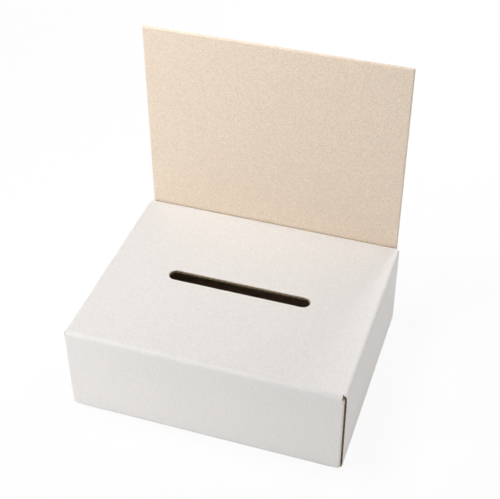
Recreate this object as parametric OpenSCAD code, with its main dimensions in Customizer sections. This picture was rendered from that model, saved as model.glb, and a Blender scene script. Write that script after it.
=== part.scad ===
// Countertop ballot box of corrugated board with a tall sign panel behind it.
// Every panel between two creases of the one blank is a leaf of its own.
// Millimetres. +Z is up, the front faces -Y, and the origin is on the ground under the middle.

/* [Board] */
// Thickness of the corrugated board
board_t = 3; // [2:0.1:4.5]
// Thickness of each paper: the two liners and the fluted sheet between them
paper_t = 0.4; // [0.25:0.05:0.6]
// Length of one wave of the flutes
flute_pitch = 6.35; // [4:0.05:9]

/* [Box] */
// Outer width of the box across its side walls
body_w = 305; // [220:1:420]
// Depth of the box from its front face to the back of the rear wall
body_d = 244; // [180:1:340]
// Height of the box up to the top face
body_h = 107; // [85:1:180]

/* [Slot] */
// Length of the voting slot from end to end
slot_l = 161; // [80:1:190]
// Width of the voting slot
slot_w = 15; // [6:0.5:30]

/* [Header] */
// Height of the sign panel above the top face
header_h = 231; // [120:1:320]
// How far each edge of the sign panel stands in from the side wall
header_inset = 4; // [1:0.5:20]

/* [Folds] */
// Inner radius of the fold between the top and the front wall
front_fold_ri = 1.8; // [0.4:0.1:4]
// Inner radius of the folds between the top and the side and rear walls
side_fold_ri = 0.8; // [0.4:0.1:4]
// Inner radius of the folds at the foot of the side walls
rim_fold_ri = 1; // [0.4:0.1:1.4]
// Outer radius of the creases that the door and the sign panel turn on
crease_r = 1.6; // [0.5:0.1:1.9]
// Width of the crushed band along a folded edge
crush_w = 3; // [1:0.5:6]

/* [Walls] */
// How far the front and rear walls lap over the edges of the side walls
wall_lap = 1.4; // [0:0.1:2]
// How far the front wall sits to the left of the middle
front_shift = 0.6; // [0:0.1:1]
// Corner radius at the foot of the front wall and of the sign panel
foot_r = 5; // [1:0.5:12]
// Corner radius of the top corners of the sign panel
header_r = 1.5; // [0.5:0.5:20]
// Cut-off at the top corners of the inner side leaves
leaf_chamfer = 3; // [3:0.5:12]

/* [Corner flaps] */
// Length of the corner flaps of the front and rear walls
flap_l = 78; // [30:1:85]
// How much a corner flap narrows at each side towards its end
flap_taper = 9; // [0:0.5:20]
// Corner radius of the flaps and ears
flap_r = 8; // [2:0.5:14]

/* [Door ears] */
// Height of the door's tuck-in ears above the ground
ear_h = 66; // [40:1:78]
// Length of an ear along the door
ear_l = 150; // [60:1:160]
// How much an ear narrows at each end towards its top
ear_taper = 14; // [0:1:25]

/* [Fit] */
// Clearance between leaves that lie face to face in the walls
leaf_gap = 0.2; // [0.1:0.05:0.6]
// Clearance between the door and the side walls' rims
door_gap = 0.5; // [0.3:0.1:1.5]
// Clearance between the rear wall and the sign panel
seat_gap = 0.3; // [0.1:0.1:1]

/* [Hidden] */
$fn = 48;
eps = 0.01;

// Outer radii of the folds
front_fold_r = front_fold_ri + board_t;
side_fold_r = side_fold_ri + board_t;
rim_fold_r = rim_fold_ri + board_t;

// Planes from the front to the back
front_y = -(body_d + seat_gap + board_t) / 2;
wall_y = front_y + body_d;
header_y = wall_y + seat_gap;
back_y = header_y + board_t;
// Stretch of the side walls between the front and the rear wall
side_y0 = front_y + board_t + leaf_gap;
side_y1 = wall_y - board_t - leaf_gap;

// Planes from the outside to the inside of the rolled right side wall
side_x = body_w / 2;
flap_x = side_x - board_t - leaf_gap;
inner_x = flap_x - board_t - leaf_gap;
inner_face_x = inner_x - board_t;
door_x = inner_face_x - door_gap;
wall_x = side_x - board_t + wall_lap;

// Levels
leaf_top_z = body_h - board_t - leaf_gap;
flap_root_z = body_h - front_fold_r - leaf_gap;
fold_foot_z = rim_fold_r + leaf_gap;
rear_foot_z = board_t + door_gap;
header_top_z = body_h + header_h;
header_x = side_x - header_inset;
slot_mid_y = front_y + body_d / 2;
ear_y0 = front_y + (body_d - ear_l) / 2;

// Wave of the fluted sheet
glue = 0.06;
wave_a = board_t / 2 - 1.5 * paper_t + glue;
cell_w = flute_pitch * (0.5 - acos(1 - glue / wave_a) / 360);
cell_steps = 8;

white = [0.93, 0.925, 0.915];
kraft = [0.84, 0.78, 0.69];

// Points of an arc round c, from angle a0 to a1
function arc(c, r, a0, a1, n = 6) =
    [for (i = [0 : n]) c + r * [cos(a0 + (a1 - a0) * i / n), sin(a0 + (a1 - a0) * i / n)]];

// Outline that runs round the given corners, each with its own radius; an inward turn stays sharp
function rounded(corners, radii) = [
    for (i = [0 : len(corners) - 1])
        let (
            p = corners[i],
            a = corners[(i + len(corners) - 1) % len(corners)] - p,
            b = corners[(i + 1) % len(corners)] - p,
            ua = a / norm(a),
            ub = b / norm(b),
            half = acos(ua * ub) / 2,
            bis = (ua + ub) / norm(ua + ub),
            c = p + bis * radii[i] / sin(half),
            a0 = atan2(-bis[1], -bis[0]) - (90 - half),
            pts = arc(c, radii[i], a0, a0 + 2 * (90 - half))
        )
        each radii[i] > 0 ? pts : [p]
];

// Profile in Y and Z, drawn out along X
module along_x(x0, x1) {
    translate([x0, 0, 0]) rotate([90, 0, 90]) linear_extrude(x1 - x0) children();
}

// Profile in X and Z, drawn out along Y
module along_y(y0, y1) {
    translate([0, y1, 0]) rotate([90, 0, 0]) linear_extrude(y1 - y0) children();
}

// Profile in X and Y, drawn out along Z
module along_z(z0, z1) {
    translate([0, 0, z0]) linear_extrude(z1 - z0) children();
}

// Hollow between one trough of the wave and the liner over it
module cell() {
    wave = [for (i = [0 : cell_steps])
        let (u = cell_w * (2 * i / cell_steps - 1))
        [u, board_t / 2 + paper_t / 2 - wave_a * cos(360 * u / flute_pitch)]];
    polygon(concat([[cell_w, board_t - paper_t], [-cell_w, board_t - paper_t]], wave));
}

// Board cut across its flutes: length along X, thickness along Y, crushed solid at folded ends
module board(length, crush0 = 0, crush1 = 0) {
    n = ceil(length / flute_pitch / 2) + 1;
    difference() {
        square([length, board_t]);
        intersection() {
            translate([crush0, 0]) square([length - crush0 - crush1, board_t]);
            for (i = [-n : n]) {
                translate([length / 2 + i * flute_pitch, 0]) cell();
                translate([length / 2 + (i + 0.5) * flute_pitch, board_t]) mirror([0, 1]) cell();
            }
        }
    }
}

// Quarter ring in the corner between +X and +Y, round the origin
module fold(ri) {
    intersection() {
        difference() {
            circle(ri + board_t);
            circle(ri);
        }
        square(ri + board_t);
    }
}

// Board seen edge on, standing on its creased end: outer face on x = 0, mitred towards +X
module creased_edge(height) {
    difference() {
        square([board_t, height]);
        difference() {
            square(crease_r);
            translate([crease_r, crease_r]) circle(crease_r);
        }
        polygon([[-eps, -eps], [board_t + eps, board_t + eps], [board_t + eps, -eps]]);
    }
}

module top_panel() {
    color(white) difference() {
        union() {
            translate([-side_x + side_fold_r, front_y + front_fold_r, body_h - board_t])
                cube([body_w - 2 * side_fold_r, body_d - front_fold_r - side_fold_r, board_t]);
            along_x(-wall_x - front_shift, wall_x - front_shift)
                translate([front_y + front_fold_r, body_h - front_fold_r])
                mirror([1, 0]) fold(front_fold_ri);
            along_x(-wall_x, wall_x)
                translate([wall_y - side_fold_r, body_h - side_fold_r]) fold(side_fold_ri);
            for (side = [0, 1])
                mirror([side, 0, 0]) along_y(side_y0, side_y1)
                    translate([side_x - side_fold_r, body_h - side_fold_r]) fold(side_fold_ri);
        }
        slot();
        // Room for the side walls behind the ends of the front fold
        for (side = [0, 1])
            mirror([side, 0, 0]) translate([flap_x, side_y0 - leaf_gap, 0])
                cube([board_t + 1, body_d, body_h - side_fold_r]);
    }
}

module slot() {
    translate([0, slot_mid_y, body_h - board_t - 1]) linear_extrude(board_t + 2) {
        square([slot_l - slot_w, slot_w], center = true);
        for (side = [-1, 1])
            translate([side * (slot_l - slot_w) / 2, 0]) circle(d = slot_w);
    }
}

module front_wall() {
    x0 = -wall_x - front_shift;
    x1 = wall_x - front_shift;
    top_z = body_h - front_fold_r;
    color(white) intersection() {
        along_z(0, top_z) translate([x0, front_y]) board(x1 - x0, crush_w, crush_w);
        along_z(0, top_z) polygon(rounded(
            [[x0, front_y], [x1, front_y], [x1, front_y + board_t], [x0, front_y + board_t]],
            [wall_lap, wall_lap, 0, 0]));
        along_y(front_y, front_y + board_t)
            polygon(rounded([[x0, 0], [x1, 0], [x1, top_z], [x0, top_z]], [foot_r, foot_r, 0, 0]));
        along_x(x0, x1) translate([front_y, 0]) creased_edge(top_z);
    }
}

module rear_wall() {
    color(white) along_z(rear_foot_z, body_h - side_fold_r)
        translate([-wall_x, wall_y - board_t]) board(2 * wall_x, crush_w, crush_w);
}

// Leaves of the right side wall; the left ones are their mirror images
module side_outer() {
    color(white) along_y(side_y0, side_y1)
        translate([side_x, rim_fold_r]) rotate(90) board(body_h - side_fold_r - rim_fold_r);
}

module side_rim() {
    color(white) along_y(side_y0, side_y1) {
        translate([side_x - rim_fold_r, rim_fold_r]) mirror([0, 1]) fold(rim_fold_ri);
        translate([inner_face_x + rim_fold_r, rim_fold_r]) mirror([1, 0]) mirror([0, 1])
            fold(rim_fold_ri);
        translate([inner_face_x + rim_fold_r, 0])
            square([side_x - inner_face_x - 2 * rim_fold_r, board_t]);
    }
}

module side_inner() {
    color(white) intersection() {
        along_y(side_y0, side_y1)
            translate([inner_x, rim_fold_r]) rotate(90) board(leaf_top_z - rim_fold_r);
        along_x(inner_face_x, inner_x) polygon([
            [side_y0, rim_fold_r], [side_y1, rim_fold_r],
            [side_y1, leaf_top_z - leaf_chamfer], [side_y1 - leaf_chamfer, leaf_top_z],
            [side_y0 + leaf_chamfer, leaf_top_z], [side_y0, leaf_top_z - leaf_chamfer]
        ]);
    }
}

// Corner flap on the right, from its root at y0 towards the middle of the box
module corner_flap(y0) {
    color(white) intersection() {
        along_z(fold_foot_z, leaf_top_z) translate([flap_x, y0]) rotate(90) board(flap_l);
        along_x(flap_x - board_t, flap_x) translate([y0, 0]) polygon(rounded(
            [[0, fold_foot_z], [flap_l, fold_foot_z + flap_taper],
             [flap_l, leaf_top_z - flap_taper], [0, flap_root_z]],
            [0, flap_r, flap_r, 0]));
    }
}

module front_flap() {
    corner_flap(front_y + board_t);
}

module rear_flap() {
    mirror([0, 1, 0]) corner_flap(board_t - wall_y);
}

// The door: mitred at both of its creases, and folded up along its sides where the ears stand
module bottom_panel() {
    color(kraft) {
        difference() {
            intersection() {
                along_y(front_y, back_y)
                    translate([-door_x, 0]) board(2 * door_x, crush_w, crush_w);
                along_x(-door_x, door_x) {
                    intersection() {
                        translate([front_y, 0]) lying() creased_edge(back_y - front_y);
                        translate([back_y, 0]) mirror([1, 0]) lying()
                            creased_edge(back_y - front_y);
                    }
                }
            }
            for (side = [0, 1])
                mirror([side, 0, 0]) translate([door_x - rim_fold_r, ear_y0, -1])
                    cube([rim_fold_r + 1, ear_l, board_t + 2]);
        }
        for (side = [0, 1])
            mirror([side, 0, 0]) along_y(ear_y0, ear_y0 + ear_l)
                translate([door_x - rim_fold_r, rim_fold_r]) mirror([0, 1]) fold(rim_fold_ri);
    }
}

// Swaps the two axes of a profile
module lying() {
    mirror([1, -1]) children();
}

module bottom_ear() {
    color(white) intersection() {
        along_y(ear_y0, ear_y0 + ear_l)
            translate([door_x, fold_foot_z]) rotate(90) board(ear_h - fold_foot_z);
        along_x(door_x - board_t, door_x) translate([ear_y0, 0]) polygon(rounded(
            [[0, fold_foot_z], [ear_l, fold_foot_z],
             [ear_l - ear_taper, ear_h], [ear_taper, ear_h]],
            [0, 0, flap_r, flap_r]));
    }
}

module header_panel() {
    color(kraft) intersection() {
        along_z(0, header_top_z) translate([-header_x, header_y]) board(2 * header_x);
        along_y(header_y, back_y) polygon(rounded(
            [[-header_x, 0], [header_x, 0], [header_x, header_top_z], [-header_x, header_top_z]],
            [foot_r, foot_r, header_r, header_r]));
        along_x(-header_x, header_x) translate([back_y, 0]) mirror([1, 0])
            creased_edge(header_top_z);
    }
}

module left() {
    mirror([1, 0, 0]) children();
}

top_panel();
front_wall();
rear_wall();
left() side_outer();  // left_side_outer
side_outer();  // right_side_outer
left() side_rim();  // left_side_rim
side_rim();  // right_side_rim
left() side_inner();  // left_side_inner
side_inner();  // right_side_inner
left() front_flap();  // front_left_flap
front_flap();  // front_right_flap
left() rear_flap();  // rear_left_flap
rear_flap();  // rear_right_flap
bottom_panel();
left() bottom_ear();  // bottom_left_ear
bottom_ear();  // bottom_right_ear
header_panel();
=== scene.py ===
"""Looks of a white corrugated ballot box with a kraft-faced sign panel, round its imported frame."""

import math
import bmesh
import bpy
from mathutils import Matrix, Vector


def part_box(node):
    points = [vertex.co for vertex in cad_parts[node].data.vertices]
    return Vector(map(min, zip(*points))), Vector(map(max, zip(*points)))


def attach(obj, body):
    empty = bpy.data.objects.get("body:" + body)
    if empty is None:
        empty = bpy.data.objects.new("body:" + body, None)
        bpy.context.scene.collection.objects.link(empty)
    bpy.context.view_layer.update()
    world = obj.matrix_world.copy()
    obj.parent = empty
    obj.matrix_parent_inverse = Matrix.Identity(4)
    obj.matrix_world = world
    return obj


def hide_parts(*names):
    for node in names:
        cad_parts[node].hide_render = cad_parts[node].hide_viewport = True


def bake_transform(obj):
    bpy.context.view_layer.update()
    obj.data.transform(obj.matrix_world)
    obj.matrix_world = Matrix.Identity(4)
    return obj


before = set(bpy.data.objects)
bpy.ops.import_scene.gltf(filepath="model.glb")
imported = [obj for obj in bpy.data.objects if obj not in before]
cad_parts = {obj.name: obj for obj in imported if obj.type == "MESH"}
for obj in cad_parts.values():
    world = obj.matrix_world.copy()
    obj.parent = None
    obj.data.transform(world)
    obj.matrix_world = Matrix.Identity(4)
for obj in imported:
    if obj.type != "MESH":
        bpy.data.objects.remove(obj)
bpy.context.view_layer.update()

MM = 0.001

# Board: its thickness and pitch are those of the solids
BOARD_T = 3.0 * MM
FLUTE_PITCH = 6.35 * MM
LINER_T = 0.26 * MM  # a flat paper, where it is modelled as a sheet
FLUTE_T = 0.6 * MM  # the fluted paper, with its glue
WAVE_A = BOARD_T / 2 - LINER_T - FLUTE_T / 2
PLY_T = 0.12 * MM  # white or kraft surface of a liner, over the brown pulp

# Outer radii of the folds, as in the solids
FRONT_R = 4.8 * MM
SIDE_R = 3.8 * MM
RIM_R = 4.0 * MM
CREASE_R = 1.6 * MM
LAP_R = 1.4 * MM

# Corners of the panels, as in the solids
FOOT_R = 5.0 * MM
HEADER_R = 1.5 * MM

# Upright folds from the front wall to its left and right corner flaps: their radii, and how far they
# stand above the foot of the top's front fold
END_RS = (0.9 * MM, 2.2 * MM)
END_RISE = 1.0 * MM

# Voting slot, as in the solids but for its lip, where the die cut rounded the outer liner down
SLOT_L = 161.0 * MM
SLOT_W = 15.0 * MM
SLOT_R = SLOT_W / 2
SLOT_STRAIGHT = (SLOT_L - SLOT_W) / 2
LIP_R = 0.9 * MM

# How close beside a curve its flat neighbour gets a row of its own, so that it shades flat
BESIDE = 0.8 * MM

# Angles of the rows down a whole fold, and over a mitred crease
FOLD_ANGLES = [math.radians(a) for a in (0, 1, 11, 22, 33, 45, 57, 68, 79, 89, 90)]
CREASE_ANGLES = [math.radians(a) for a in (0, 15, 30, 45)]

# Longest step between columns or rows of flat paper, and the step along the flutes' wave
TOP_STEP = 30.0 * MM
SIDE_STEP = 50.0 * MM
SIGN_STEP = 25.0 * MM
WAVE_STEP = FLUTE_PITCH / 14

# Liners over the moving creases: thickness, how far they lie over the board, and their inner fillet
STRIP_T = 0.05 * MM
STRIP_PROUD = 0.03 * MM
STRIP_FILLET = 0.25 * MM
EAR_STRIP = (-0.26 * MM, 0.14 * MM)  # from the foot of an ear, down and up

# Edges of the sign panel, pressed thin where the board was cut
PRESSED_W = 0.9 * MM
PRESSED_T = 2.2 * MM

# Photograph's camera: where it aims, from which angle and how far off
IMAGE_W = 500
CAM_AIM = Vector((12.6, 0.0, 163.9)) * MM
CAM_AZIMUTH = 18.404
CAM_ELEVATION = 39.544
CAM_ROLL = -0.265
CAM_DISTANCE = 1.1808
CAM_FOCAL_PX = 1118.4
SENSOR_MM = 36.0

# Colours as they show in the photograph, linear
WHITE = (0.805, 0.782, 0.763)
KRAFT = (0.847, 0.715, 0.58)
CORE = (0.66, 0.49, 0.33)
CORE_DARK = (0.45, 0.32, 0.205)
PAINTED_CELL_SHADE = (0.03, 0.018, 0.010)  # painted shade inside the flutes, where no light gets to
SPECK = (0.42, 0.32, 0.23)

# Paper grain: noise scales per metre, and the fibres' scale along the flutes as a share of that across
FIBRE_SCALE = 1500
MOTTLE_SCALE = 800
CLOUD_SCALE = 9
SPECK_SCALE = 620
FIBRE_ALONG = 0.4

# Relief of a liner: washboard from the flutes, mottle and fibres
WASHBOARD = 0.006 * MM
TOOTH = 0.03 * MM
FIBRE_RELIEF = 0.02 * MM

# How deep the light gets into a cut flute, from where it starts to fade; further in, the flutes' papers
# are painted in shade
CELL_FADE = (0.06 * MM, 0.3 * MM)

# Light: the surround's strength is a level plus a share for each axis
SKY_LEVEL = 0.333
SKY_SHARES = (0.333, 0.0, 0.0)

# Floor: width, how clear it is close to the box, where that fades to all clear, how much it lies below
# the box, and how far up and how strongly it glows on what stands on it
FLOOR_W = 12.0
FLOOR_CLEAR = 0.88
FLOOR_FADE = (0.35, 1.5)
FLOOR_DROP = 0.2 * MM
FLOOR_REACH = 2.0 * MM
FLOOR_GLOW = 0.85

# Lamps: name, place, width and power, all aimed at one point
LAMP_AIM = (0.0, 0.0, 0.12)
LAMPS = (
    ("overhead", (-0.35, -0.05, 1.1), 0.5, 6.6),
    ("low_front", (-0.9, -0.9, 0.35), 0.4, 6.4),
    ("behind", (0.3, 1.5, 0.6), 0.5, 12.0),
)


def lo_hi(node):
    """Corners of a CAD node's box, as vectors."""
    lo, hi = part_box(node)
    return Vector(lo), Vector(hi)


class Shader:
    """A material whose node tree is built by short calls."""

    def __init__(self, name):
        self.mat = bpy.data.materials.new(name)
        self.mat.use_nodes = True
        self.nodes = self.mat.node_tree.nodes
        self.links = self.mat.node_tree.links
        self.bsdf = self.nodes["Principled BSDF"]
        self.coord = self.nodes.new("ShaderNodeTexCoord")
        self.split = self.nodes.new("ShaderNodeSeparateXYZ")
        self.links.new(self.coord.outputs["Object"], self.split.inputs[0])

    def node(self, kind, **settings):
        made = self.nodes.new(kind)
        for key, value in settings.items():
            setattr(made, key, value)
        return made

    def put(self, socket, value):
        """Links a socket, or sets its value."""
        if isinstance(value, bpy.types.NodeSocket):
            self.links.new(value, socket)
        else:
            socket.default_value = value

    def math(self, operation, a, b=0.0):
        made = self.node("ShaderNodeMath", operation=operation)
        self.put(made.inputs[0], a)
        self.put(made.inputs[1], b)
        return made.outputs[0]

    def mix(self, factor, a, b):
        made = self.node("ShaderNodeMix", data_type="RGBA")
        self.put(made.inputs["Factor"], factor)
        for name, value in (("A", a), ("B", b)):
            socket = [s for s in made.inputs if s.name == name and s.type == "RGBA"][0]
            self.put(socket, (*value, 1.0) if isinstance(value, tuple) else value)
        return [s for s in made.outputs if s.type == "RGBA"][0]

    def axis(self, letter):
        """One object-space coordinate, in metres."""
        return self.split.outputs[letter]

    def noise(self, scale, detail=3.0, stretch=(1, 1, 1), roughness=0.55):
        """Noise in object space; a stretch under 1 lengthens its grain along that axis."""
        place = self.node("ShaderNodeMapping")
        self.links.new(self.coord.outputs["Object"], place.inputs["Vector"])
        place.inputs["Scale"].default_value = stretch
        made = self.node("ShaderNodeTexNoise")
        self.links.new(place.outputs[0], made.inputs["Vector"])
        made.inputs["Scale"].default_value = scale
        made.inputs["Detail"].default_value = detail
        made.inputs["Roughness"].default_value = roughness
        return made.outputs[0]

    def range(self, value, a, b, c=0.0, d=1.0):
        made = self.node("ShaderNodeMapRange", clamp=True)
        for i, v in enumerate((value, a, b, c, d)):
            self.put(made.inputs[i], v)
        return made.outputs[0]

    def bump(self, height, distance, under=None):
        """Bump of a real height in metres, on top of another bump."""
        made = self.node("ShaderNodeBump")
        made.inputs["Strength"].default_value = 1.0
        made.inputs["Distance"].default_value = distance
        self.put(made.inputs["Height"], height)
        if under:
            self.links.new(under, made.inputs["Normal"])
        return made.outputs[0]

    def from_plane(self, letter, plane, sign):
        """Depth below a face that looks along an axis: sign is 1 where the board lies above it."""
        return self.math("MULTIPLY", self.math("SUBTRACT", self.axis(letter), plane), sign)

    def from_ends(self, letter, low, high):
        """Depth below the nearer of two opposite faces."""
        off = self.math("ABSOLUTE", self.math("SUBTRACT", self.axis(letter), (low + high) / 2))
        return self.math("SUBTRACT", (high - low) / 2, off)

    def only_within(self, depth, letter, low, high):
        """A depth that counts between two planes, and is out of reach outside them."""
        outside = self.math("LESS_THAN", self.from_ends(letter, low, high), 0.0)
        return self.math("ADD", depth, outside)

    def corner(self, a, b, radius):
        """Depth below a rounded corner, from the depths below its two faces, at most the radius."""
        left_a = self.math("MAXIMUM", self.math("SUBTRACT", radius, a), 0.0)
        left_b = self.math("MAXIMUM", self.math("SUBTRACT", radius, b), 0.0)
        square = self.math("ADD", self.math("POWER", left_a, 2.0), self.math("POWER", left_b, 2.0))
        return self.math("SUBTRACT", radius, self.math("SQRT", square))

    def least(self, *values):
        found = values[0]
        for value in values[1:]:
            found = self.math("MINIMUM", found, value)
        return found


class Paper:
    """The board's papers in one material: flutes is the axis that the flutes run along."""

    def __init__(self, name, flutes, across):
        self.sh = sh = Shader(name)
        along = tuple(FIBRE_ALONG if letter == flutes else 1.0 for letter in "XYZ")
        self.fibre = sh.noise(FIBRE_SCALE, 3, along)
        self.mottle = sh.noise(MOTTLE_SCALE, 3, (1, 1, 1), 0.6)
        self.cloud = sh.noise(CLOUD_SCALE, 2)
        self.across = across

    def between(self, value, low, high, colour, reach):
        """A colour that goes from darker to lighter by the reach, as the value goes from low to high."""
        dark = tuple((1 - reach) * c for c in colour)
        light = tuple((1 + reach) * c for c in colour)
        return self.sh.mix(self.sh.range(value, low, high), dark, light)

    def grained(self, colour, mottle, fibre):
        """A paper's colour, lighter and darker by its mottle and its fibres."""
        sh = self.sh
        base = self.between(self.cloud, 0.3, 0.7, colour, 0.01)
        base = sh.mix(0.5, base, self.between(self.mottle, 0.38, 0.62, colour, mottle))
        dark = tuple((1 - fibre) * c for c in colour)
        return sh.mix(sh.range(self.fibre, 0.44, 0.68, 0, 0.5), base, dark)

    def white(self):
        return self.grained(WHITE, 0.12, 0.14)

    def kraft(self):
        sh = self.sh
        speck = sh.range(sh.noise(SPECK_SCALE, 1, (1, 1, 1), 0.4), 0.765, 0.79, 0, 0.6)
        return sh.mix(speck, self.grained(KRAFT, 0.20, 0.24), SPECK)

    def core(self):
        return self.sh.mix(self.sh.range(self.fibre, 0.35, 0.65), CORE, CORE_DARK)

    def finish(self, colour):
        """Colour, dull paper finish, and the faint washboard that the flutes leave in a liner."""
        sh = self.sh
        sh.put(sh.bsdf.inputs["Base Color"], colour)
        sh.put(sh.bsdf.inputs["Roughness"], sh.range(self.fibre, 0.2, 0.8, 0.66, 0.86))
        sh.bsdf.inputs["Specular IOR Level"].default_value = 0.22
        turn = sh.math("MULTIPLY", sh.axis(self.across), 2 * math.pi / FLUTE_PITCH)
        washboard = sh.bump(sh.math("SINE", turn), WASHBOARD)
        tooth = sh.bump(self.mottle, TOOTH, washboard)
        sh.links.new(sh.bump(self.fibre, FIBRE_RELIEF, tooth), sh.bsdf.inputs["Normal"])
        return sh.mat


def paper_material(name, kind, flutes, across):
    """One side of a liner, or the brown core."""
    paper = Paper(name, flutes, across)
    return paper.finish(getattr(paper, kind)())


def board_material(name, flutes, across, depths, cut=None):
    """Board that is white at depth 0 and kraft at its full depth, with brown cut ends between.
    depths takes the shader and returns the depth below the white face and the depth through.
    cut returns the distance from the nearest cut end, further in from which the flutes are painted dark
    as their own shade."""
    paper = Paper(name, flutes, across)
    sh = paper.sh
    outer, through = depths(sh)
    colour = paper.core()
    if cut:
        # painted shade: further in from a cut end, the flutes' papers turn near black, as the shade
        # inside the cells
        colour = sh.mix(sh.range(cut(sh), *CELL_FADE), colour, PAINTED_CELL_SHADE)
    colour = sh.mix(sh.range(through, BOARD_T - 1.3 * PLY_T, BOARD_T - PLY_T), colour, paper.kraft())
    colour = sh.mix(sh.range(outer, PLY_T, 1.3 * PLY_T, 1, 0), colour, paper.white())
    return paper.finish(colour)


def flat_depths(node, letter, side):
    """A flat leaf whose white face is the low or the high one of an axis."""
    lo, hi = lo_hi(node)
    i = "XYZ".index(letter)
    plane, sign = (lo[i], 1.0) if side == "low" else (hi[i], -1.0)

    def depths(sh):
        depth = sh.from_plane(letter, plane, sign)
        return depth, depth

    return depths


def rear_depths():
    """The rear wall, whose ends are folded too."""
    lo, hi = lo_hi("rear_wall")

    def depths(sh):
        depth = sh.from_plane("Y", hi.y, -1.0)
        return sh.corner(depth, sh.from_ends("X", lo.x, hi.x), LAP_R), depth

    return depths


def rim_depths(node):
    """The folded foot of a side wall, round at both its lower corners."""
    lo, hi = lo_hi(node)

    def depths(sh):
        up = sh.from_plane("Z", lo.z, 1.0)
        depth = sh.corner(sh.from_ends("X", lo.x, hi.x), up, RIM_R)
        return depth, depth

    return depths


def door_depths():
    """The door, creased at the front and the rear, and folded up along its ears."""
    lo, hi = lo_hi("bottom_panel")
    ear_lo, ear_hi = lo_hi("bottom_left_ear")

    def depths(sh):
        up = sh.from_plane("Z", lo.z, 1.0)
        crease = sh.corner(sh.from_ends("Y", lo.y, hi.y), up, CREASE_R)
        side = sh.only_within(sh.from_ends("X", lo.x, hi.x), "Y", ear_lo.y, ear_hi.y)
        depth = sh.corner(side, up, RIM_R)
        return sh.least(crease, depth), depth

    return depths


def top_depths():
    """The top, which runs down round all four edges."""
    lo, hi = lo_hi("top_panel")
    side_lo, side_hi = lo_hi("right_side_outer")

    def depths(sh):
        down = sh.from_plane("Z", hi.z, -1.0)
        front = sh.corner(sh.from_plane("Y", lo.y, 1.0), down, FRONT_R)
        rear = sh.corner(sh.from_plane("Y", hi.y, -1.0), down, SIDE_R)
        side = sh.only_within(sh.from_ends("X", lo.x, hi.x), "Y", side_lo.y, side_hi.y)
        depth = sh.least(front, rear, sh.corner(side, down, SIDE_R))
        return depth, depth

    return depths


def top_cut(sh):
    """Distance from the slot, or from the cut ends of the top's folds."""
    lo, hi = lo_hi("right_side_outer")
    front_lo, front_hi = lo_hi("front_wall")
    rear_lo, rear_hi = lo_hi("rear_wall")
    mid_y = (front_lo.y + rear_hi.y) / 2
    off_x = sh.math("ABSOLUTE", sh.axis("X"))
    past = sh.math("MAXIMUM", sh.math("SUBTRACT", off_x, SLOT_STRAIGHT), 0.0)
    off_y = sh.math("SUBTRACT", sh.axis("Y"), mid_y)
    reach = sh.math("ADD", sh.math("POWER", past, 2.0), sh.math("MULTIPLY", off_y, off_y))
    slot = sh.math("SUBTRACT", sh.math("SQRT", reach), SLOT_R)
    fold = sh.math("ABSOLUTE", sh.from_ends("X", front_lo.x + END_RS[0], front_hi.x - END_RS[1]))
    side = sh.math("ABSOLUTE", sh.from_ends("Y", lo.y, hi.y))
    return sh.least(slot, fold, side)


def dress_nodes():
    """Gives each CAD leaf its board, with the white side and the flutes as they run in the blank."""
    leaves = {
        "rear_wall": ("Z", "X", rear_depths()),
        "bottom_panel": ("Y", "X", door_depths()),
    }
    for side, outer, inner in (("left", "low", "high"), ("right", "high", "low")):
        leaves[side + "_side_inner"] = ("Y", "Z", flat_depths(side + "_side_inner", "X", inner))
        leaves[side + "_side_rim"] = ("Y", "X", rim_depths(side + "_side_rim"))
        leaves["bottom_%s_ear" % side] = ("Y", "Z", flat_depths("bottom_%s_ear" % side, "X", outer))
        for end in ("front", "rear"):
            flap = "%s_%s_flap" % (end, side)
            leaves[flap] = ("Z", "Y", flat_depths(flap, "X", outer))
    for node, (flutes, across, depths) in leaves.items():
        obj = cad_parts[node]
        obj.data.materials.clear()
        obj.data.materials.append(board_material("board_" + node, flutes, across, depths))


def add_grid(bm, columns, material=0):
    """Quads between neighbouring columns of points."""
    verts = [[bm.verts.new(p) for p in column] for column in columns]
    for a, b in zip(verts, verts[1:]):
        for i in range(len(a) - 1):
            face = bm.faces.new((a[i], a[i + 1], b[i + 1], b[i]))
            face.material_index = material


def make_piece(name, bm, materials, thickness=0.0, smooth_angle=32):
    """Turns a bmesh into an object, as a sheet of the given thickness or as it is."""
    bmesh.ops.remove_doubles(bm, verts=bm.verts, dist=0.002 * MM)
    bmesh.ops.dissolve_degenerate(bm, edges=bm.edges, dist=0.001 * MM)
    bmesh.ops.recalc_face_normals(bm, faces=bm.faces)
    mesh = bpy.data.meshes.new(name)
    bm.to_mesh(mesh)
    bm.free()
    for mat in materials:
        mesh.materials.append(mat)
    obj = bpy.data.objects.new(name, mesh)
    bpy.context.scene.collection.objects.link(obj)
    if thickness:
        shell = obj.modifiers.new("paper", "SOLIDIFY")
        shell.thickness = thickness
        shell.offset = 0.0
        bpy.context.view_layer.update()
        grown = obj.evaluated_get(bpy.context.evaluated_depsgraph_get())
        obj.data = bpy.data.meshes.new_from_object(grown)
        obj.modifiers.clear()
    obj.data.polygons.foreach_set("use_smooth", [True] * len(obj.data.polygons))
    obj.data.set_sharp_from_angle(angle=math.radians(smooth_angle))
    return obj


def wave_depth(across):
    """Depth of the fluted sheet's middle below the white face."""
    return BOARD_T / 2 - WAVE_A * math.cos(2 * math.pi * across / FLUTE_PITCH)


def liner_depth(depth):
    """Depth of a flat liner, wherever it is."""
    return lambda across: depth


def slot_half_width(x, out=0.0):
    """Half the slot's width at x, and 0 past its round ends; out is how far outside its edge."""
    past = max(abs(x) - SLOT_STRAIGHT, 0.0)
    return math.sqrt(max((SLOT_R + out) ** 2 - past ** 2, 0.0))


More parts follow.
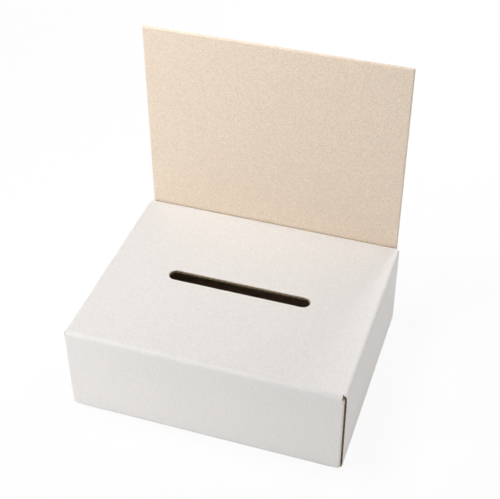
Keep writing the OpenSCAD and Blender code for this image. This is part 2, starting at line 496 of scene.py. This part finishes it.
def top_columns(low, high, step, rings):
    """Places along X between two ends, with those of the slot's round ends and the rings round it."""
    count = math.ceil((high - low) / step)
    xs = {low + (high - low) * i / count for i in range(count + 1)} | {low + BESIDE, high - BESIDE}
    reaches = [SLOT_R * math.sin(math.radians(7.5 * turn)) for turn in range(13)]
    for reach in reaches + [SLOT_R + out for out in rings]:
        xs.update((SLOT_STRAIGHT + reach, -SLOT_STRAIGHT - reach))
    return sorted(x for x in xs if low <= x <= high)


def on_fold(edge, radius, depth, top, sign, angle):
    """Point on a fold that runs down from a flat top, as the coordinate across it and Z."""
    r = radius - depth
    return edge + sign * r * math.sin(angle), top - radius + r * math.cos(angle)


def top_sheet(name, depth_at, step, thickness, material, lip=0.0):
    """One paper of the top: flat round the slot, and run down round the four folds.
    A lip is the radius at which the paper turns down into the slot."""
    lo, hi = lo_hi("top_panel")
    front_lo, front_hi = lo_hi("front_wall")
    rear_lo, rear_hi = lo_hi("rear_wall")
    side_lo, side_hi = lo_hi("right_side_outer")
    flat_x = hi.x - SIDE_R
    front_y, rear_y = lo.y + FRONT_R, hi.y - SIDE_R
    slot_y = (front_lo.y + rear_hi.y) / 2
    bm = bmesh.new()
    rings = [lip * (1 - math.sin(math.radians(a))) for a in (90, 60, 40, 20, 0)] if lip else [0.0]
    rings.append(lip + BESIDE)
    flat = top_columns(-flat_x, flat_x, step, rings)

    def row(x, sign, out):
        across = slot_half_width(x, out)
        off = math.hypot(max(abs(x) - SLOT_STRAIGHT, 0.0), across) - SLOT_R
        drop = lip - math.sqrt(max(lip ** 2 - max(lip - off, 0.0) ** 2, 0.0))
        return (x, slot_y + sign * across, hi.z - depth_at(x) - drop)

    for sign, edge in ((-1, front_y), (1, rear_y)):
        columns = []
        for x in flat:
            column = [row(x, sign, out) for out in rings]
            column += [(x, y, hi.z - depth_at(x)) for y in (edge - sign * BESIDE, edge)]
            columns.append(column)
        add_grid(bm, columns)
    for edge, radius, sign, low, high in (
        (front_y, FRONT_R, -1, front_lo.x + END_RS[0], front_hi.x - END_RS[1]),
        (rear_y, SIDE_R, 1, -flat_x, flat_x),
    ):
        columns = []
        for x in [low] + [x for x in flat if low < x < high] + [high]:
            down = [on_fold(edge, radius, depth_at(x), hi.z, sign, angle) for angle in FOLD_ANGLES]
            columns.append([(x, y, z) for y, z in down])
        add_grid(bm, columns)
    rows = (side_lo.y, front_y, front_y + BESIDE, slot_y, rear_y - BESIDE, rear_y, side_hi.y)
    for sign in (-1, 1):
        columns = []
        for angle in FOLD_ANGLES:
            depth = depth_at(flat_x + (SIDE_R - BOARD_T / 2) * angle)
            x, z = on_fold(sign * flat_x, SIDE_R, depth, hi.z, sign, angle)
            columns.append([(x, y, z) for y in rows])
        add_grid(bm, columns)
    obj = make_piece(name, bm, [material], thickness)
    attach(obj, "box")
    return obj


def build_top():
    """The slotted top as its two liners and the fluted sheet between them."""
    material = board_material("board_top", "Y", "X", top_depths(), top_cut)
    outer = top_sheet("top_outer_liner", liner_depth(LINER_T / 2), TOP_STEP, LINER_T, material, LIP_R)
    top_sheet("top_inner_liner", liner_depth(BOARD_T - LINER_T / 2), TOP_STEP, LINER_T, material)
    top_sheet("top_flutes", wave_depth, WAVE_STEP, FLUTE_T, material)
    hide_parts("top_panel")


def side_cut(sh):
    """Distance from a side wall's cut ends."""
    lo, hi = lo_hi("right_side_outer")
    return sh.from_ends("Y", lo.y, hi.y)


def side_sheet(name, sign, depth_at, step, thickness, material):
    """One paper of a side wall's outer leaf; its flutes run from the front to the rear."""
    lo, hi = lo_hi("right_side_outer")
    count = math.ceil((hi.z - lo.z) / step)
    rises = [lo.z + (hi.z - lo.z) * i / count for i in range(count + 1)]
    bm = bmesh.new()
    add_grid(bm, [[(sign * (hi.x - depth_at(z)), y, z) for y in (lo.y, hi.y)] for z in rises])
    obj = make_piece(name, bm, [material], thickness)
    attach(obj, "box")
    return obj


def build_sides():
    """The outer leaves of the side walls, whose front ends show their flutes."""
    for side, sign, outer in (("left", -1, "low"), ("right", 1, "high")):
        node = side + "_side_outer"
        material = board_material("board_" + node, "Y", "Z", flat_depths(node, "X", outer), side_cut)
        outside = liner_depth(LINER_T / 2)
        inside = liner_depth(BOARD_T - LINER_T / 2)
        liner = side_sheet(side + "_outer_liner", sign, outside, SIDE_STEP, LINER_T, material)
        side_sheet(side + "_inner_liner", sign, inside, SIDE_STEP, LINER_T, material)
        side_sheet(side + "_flutes", sign, wave_depth, WAVE_STEP, FLUTE_T, material)
        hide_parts(node)


def rounded_off(inset, radius):
    """How far a round corner takes an edge back, at a place that far from the corner's side."""
    over = max(radius - inset, 0.0)
    return radius - math.sqrt(radius ** 2 - over ** 2)


def crease_arc():
    """Half of a crease's round corner, as steps in from the wall and up from the foot."""
    return [(CREASE_R * (1 - math.cos(a)), CREASE_R * (1 - math.sin(a))) for a in CREASE_ANGLES]


def build_front():
    """The front wall, creased at its foot, with an upright fold at each end that is cut off on top."""
    lo, hi = lo_hi("front_wall")
    places = []
    for end, sign, radius in ((lo.x, 1, END_RS[0]), (hi.x, -1, END_RS[1])):
        insets = [(radius * (1 - math.cos(math.radians(a))), END_RISE) for a in range(0, 91, 15)]
        insets += [(radius, 0.0)] + [((0.6 + 0.1 * i) * FOOT_R, 0.0) for i in range(5)]
        places += [(end + sign * inset, inset, radius, rise) for inset, rise in insets][::sign]
    outer, cut, inner, foot = [], [], [], []
    for x, inset, radius, rise in places:
        y = lo.y + rounded_off(inset, radius)
        top = hi.z + rise
        base = lo.z + rounded_off(inset, FOOT_R)
        rounded = [(x, max(y, lo.y + in_y), max(lo.z + in_z, base)) for in_y, in_z in crease_arc()]
        outer.append([(x, y, top), (x, y, hi.z), (x, y, max(lo.z + FOOT_R, base))] + rounded)
        inner.append([(x, hi.y, max(lo.z + BOARD_T, base)), (x, hi.y, hi.z), (x, hi.y, top)])
        cut.append([inner[-1][-1], outer[-1][0]])
        foot.append([rounded[-1], inner[-1][0]])
    bm = bmesh.new()
    for material, columns in enumerate((outer, inner, cut, foot)):
        add_grid(bm, columns, min(material, 2))
    for end in (0, -1):
        face = bm.faces.new([bm.verts.new(p) for p in outer[end] + inner[end]])
        face.material_index = 2
    white = paper_material("front_white", "white", "Z", "X")
    kraft = paper_material("front_kraft", "kraft", "Z", "X")
    core = paper_material("front_core", "core", "Z", "X")
    obj = make_piece("front_board", bm, [white, kraft, core], smooth_angle=40)
    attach(obj, "box")
    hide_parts("front_wall")


def ease(t):
    """Smooth step from 0 to 1."""
    t = min(max(t, 0.0), 1.0)
    return t * t * (3 - 2 * t)


def edge_places(length):
    """Places from an edge inward over the pressed border, and then up to length."""
    border = [PRESSED_W * t for t in (0.0, 0.06, 0.15, 0.27, 0.42, 0.6, 0.8, 1.0)]
    start = PRESSED_W + BESIDE
    count = max(math.ceil(length / SIGN_STEP), 1)
    return border + [start + (length - start) * i / count for i in range(count + 1)]


def build_sign():
    """The sign panel: kraft in front, white behind, and pressed thin along its cut edges."""
    lo, hi = lo_hi("header_panel")
    half = (hi.x - lo.x) / 2
    mid_x = (hi.x + lo.x) / 2
    insets = edge_places(half)
    places = [(mid_x - half + i, i) for i in insets] + [(mid_x + half - i, i) for i in insets[-2::-1]]
    rises = edge_places(hi.z - lo.z - BOARD_T)[::-1]
    front, cut, back, foot = [], [], [], []
    for x, inset in places:
        top = hi.z - rounded_off(inset, HEADER_R)
        base = lo.z + rounded_off(inset, FOOT_R)
        side = ease(inset / PRESSED_W)
        column = []
        for rise in rises:
            thick = PRESSED_T + (BOARD_T - PRESSED_T) * side * ease(rise / PRESSED_W)
            column.append((x, hi.y - thick, max(top - rise, base, lo.z + BOARD_T * side)))
        front.append(column)
        cut.append([column[-1], (x, hi.y, top)])
        rounded = [(x, hi.y - in_y, max(lo.z + in_z, base)) for in_y, in_z in crease_arc()]
        back.append([(x, hi.y, top), (x, hi.y, max(lo.z + FOOT_R, base))] + rounded)
        foot.append([rounded[-1], column[0]])
    kraft = paper_material("sign_kraft", "kraft", "Z", "X")
    white = paper_material("sign_white", "white", "Z", "X")
    core = paper_material("sign_core", "core", "Z", "X")
    bm = bmesh.new()
    add_grid(bm, front, 0)
    add_grid(bm, cut, 0)
    add_grid(bm, back, 1)
    add_grid(bm, foot, 2)
    for end in (0, -1):
        outline = front[end] + back[end]
        bm.faces.new([bm.verts.new(p) for p in dict.fromkeys(outline)])
    obj = make_piece("sign_board", bm, [kraft, white, core], smooth_angle=40)
    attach(obj, "header")
    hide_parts("header_panel")


def crease_strip(name, points, low, high, material):
    """Thin strip of liner along X over a moving crease; points run from the first body to the second."""
    bm = bmesh.new()
    add_grid(bm, [[(x, y, z) for y, z in points] for x in (low, high)])
    obj = make_piece(name, bm, [material], STRIP_T)
    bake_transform(obj)


def arc_points(centre, radius, start, end, steps=8):
    """Points on an arc between two angles in degrees."""
    angles = [math.radians(start + (end - start) * i / steps) for i in range(steps + 1)]
    return [(centre[0] + radius * math.cos(a), centre[1] + radius * math.sin(a)) for a in angles]


def build_creases():
    """Liners that stay whole over the creases of the door, the sign panel and the ears."""
    lo, hi = lo_hi("bottom_panel")
    ear_lo, ear_hi = lo_hi("bottom_left_ear")
    white = paper_material("crease_white", "white", "Y", "X")
    kraft = paper_material("crease_kraft", "kraft", "Y", "X")
    for place, bodies, edge, sign in (
        ("front", ("box", "door"), lo.y, 1),
        ("rear", ("header", "door"), hi.y, -1),
    ):
        def mirrored(points):
            return [(edge + sign * across, lo.z + up) for across, up in points]

        centre = BOARD_T + STRIP_FILLET
        outer = arc_points((CREASE_R, CREASE_R), CREASE_R + STRIP_PROUD, 195, 255)
        inner = arc_points((centre, centre), STRIP_FILLET - STRIP_PROUD, 185, 265)
        crease_strip(place + "_crease_outside", mirrored(outer), lo.x, hi.x, white)
        crease_strip(place + "_crease_inside", mirrored(inner), lo.x, hi.x, kraft)
    for side, sign in (("left", -1), ("right", 1)):
        bm = bmesh.new()
        low, high = [ear_lo.z + reach for reach in EAR_STRIP]
        rises = [low + (high - low) * i / 10 for i in range(11)]
        x = sign * (hi.x + STRIP_PROUD)
        add_grid(bm, [[(x, y, z) for z in rises] for y in (ear_lo.y, ear_hi.y)])
        obj = make_piece(side + "_ear_crease", bm, [white], STRIP_T)
        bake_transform(obj)


def camera():
    """The photograph's camera."""
    data = bpy.data.cameras.new("photo_camera")
    cam = bpy.data.objects.new("photo_camera", data)
    bpy.context.scene.collection.objects.link(cam)
    a, e = math.radians(CAM_AZIMUTH), math.radians(CAM_ELEVATION)
    back = Vector((math.sin(a) * math.cos(e), -math.cos(a) * math.cos(e), math.sin(e)))
    cam.location = CAM_AIM + back * CAM_DISTANCE
    turn = (-back).to_track_quat("-Z", "Y").to_matrix() @ Matrix.Rotation(math.radians(CAM_ROLL), 3, "Z")
    cam.rotation_euler = turn.to_euler()
    data.sensor_width = SENSOR_MM
    data.lens = CAM_FOCAL_PX / IMAGE_W * SENSOR_MM
    bpy.context.scene.camera = cam


def white_floor():
    """Floor that is seen as white but for the object's shadow, and that hides nothing below it."""
    bpy.ops.mesh.primitive_plane_add(size=FLOOR_W, location=(0, 0, -FLOOR_DROP))
    floor = bpy.context.object
    floor.name = "floor"
    sh = Shader("floor_paper")
    sh.bsdf.inputs["Base Color"].default_value = (0.93, 0.93, 0.93, 1)
    sh.bsdf.inputs["Roughness"].default_value = 0.9
    path = sh.node("ShaderNodeLightPath")
    glow = sh.node("ShaderNodeEmission")
    glow.inputs["Strength"].default_value = FLOOR_GLOW
    under = sh.node("ShaderNodeMixShader")
    sh.links.new(sh.math("LESS_THAN", path.outputs["Ray Length"], FLOOR_REACH), under.inputs[0])
    sh.links.new(sh.bsdf.outputs[0], under.inputs[1])
    sh.links.new(glow.outputs[0], under.inputs[2])
    away = sh.math("POWER", sh.axis("X"), 2.0)
    away = sh.math("SQRT", sh.math("ADD", away, sh.math("POWER", sh.axis("Y"), 2.0)))
    clear = sh.range(away, *FLOOR_FADE, FLOOR_CLEAR, 1.0)
    seen = sh.math("MULTIPLY", path.outputs["Is Camera Ray"], clear)
    mix = sh.node("ShaderNodeMixShader")
    sh.links.new(sh.math("MAXIMUM", seen, path.outputs["Is Shadow Ray"]), mix.inputs[0])
    sh.links.new(under.outputs[0], mix.inputs[1])
    sh.links.new(sh.node("ShaderNodeBsdfTransparent").outputs[0], mix.inputs[2])
    sh.links.new(mix.outputs[0], sh.nodes["Material Output"].inputs["Surface"])
    floor.data.materials.append(sh.mat)


def white_world():
    """Soft light from all round, seen as plain white."""
    world = bpy.data.worlds.new("studio")
    bpy.context.scene.world = world
    world.use_nodes = True
    nodes, links = world.node_tree.nodes, world.node_tree.links
    soft = nodes["Background"]
    soft.inputs["Color"].default_value = (1, 1, 1, 1)
    aim = nodes.new("ShaderNodeTexCoord")
    tilt = nodes.new("ShaderNodeVectorMath")
    tilt.operation = "DOT_PRODUCT"
    tilt.inputs[1].default_value = SKY_SHARES
    level = nodes.new("ShaderNodeMath")
    level.inputs[1].default_value = SKY_LEVEL
    links.new(aim.outputs["Generated"], tilt.inputs[0])
    links.new(tilt.outputs["Value"], level.inputs[0])
    links.new(level.outputs[0], soft.inputs["Strength"])
    seen_white = nodes.new("ShaderNodeBackground")
    seen_white.inputs["Strength"].default_value = 1.0
    seen_white.inputs["Color"].default_value = (1, 1, 1, 1)
    path = nodes.new("ShaderNodeLightPath")
    either = nodes.new("ShaderNodeMath")
    either.operation = "MAXIMUM"
    links.new(path.outputs["Is Camera Ray"], either.inputs[0])
    links.new(path.outputs["Is Glossy Ray"], either.inputs[1])
    mix = nodes.new("ShaderNodeMixShader")
    links.new(either.outputs[0], mix.inputs[0])
    links.new(soft.outputs[0], mix.inputs[1])
    links.new(seen_white.outputs[0], mix.inputs[2])
    links.new(mix.outputs[0], nodes["World Output"].inputs["Surface"])
    bpy.context.scene.view_settings.view_transform = "Standard"


def lamp(name, place, aim, size, power):
    """A round soft lamp that looks at a point."""
    data = bpy.data.lights.new(name, "AREA")
    data.shape = "DISK"
    data.size = size
    data.energy = power
    obj = bpy.data.objects.new(name, data)
    obj.location = place
    obj.rotation_euler = (Vector(aim) - Vector(place)).to_track_quat("-Z", "Y").to_euler()
    bpy.context.scene.collection.objects.link(obj)


camera()
white_floor()
white_world()
for name, place, width, power in LAMPS:
    lamp(name, place, LAMP_AIM, width, power)
dress_nodes()
build_top()
build_sides()
build_front()
build_sign()
build_creases()
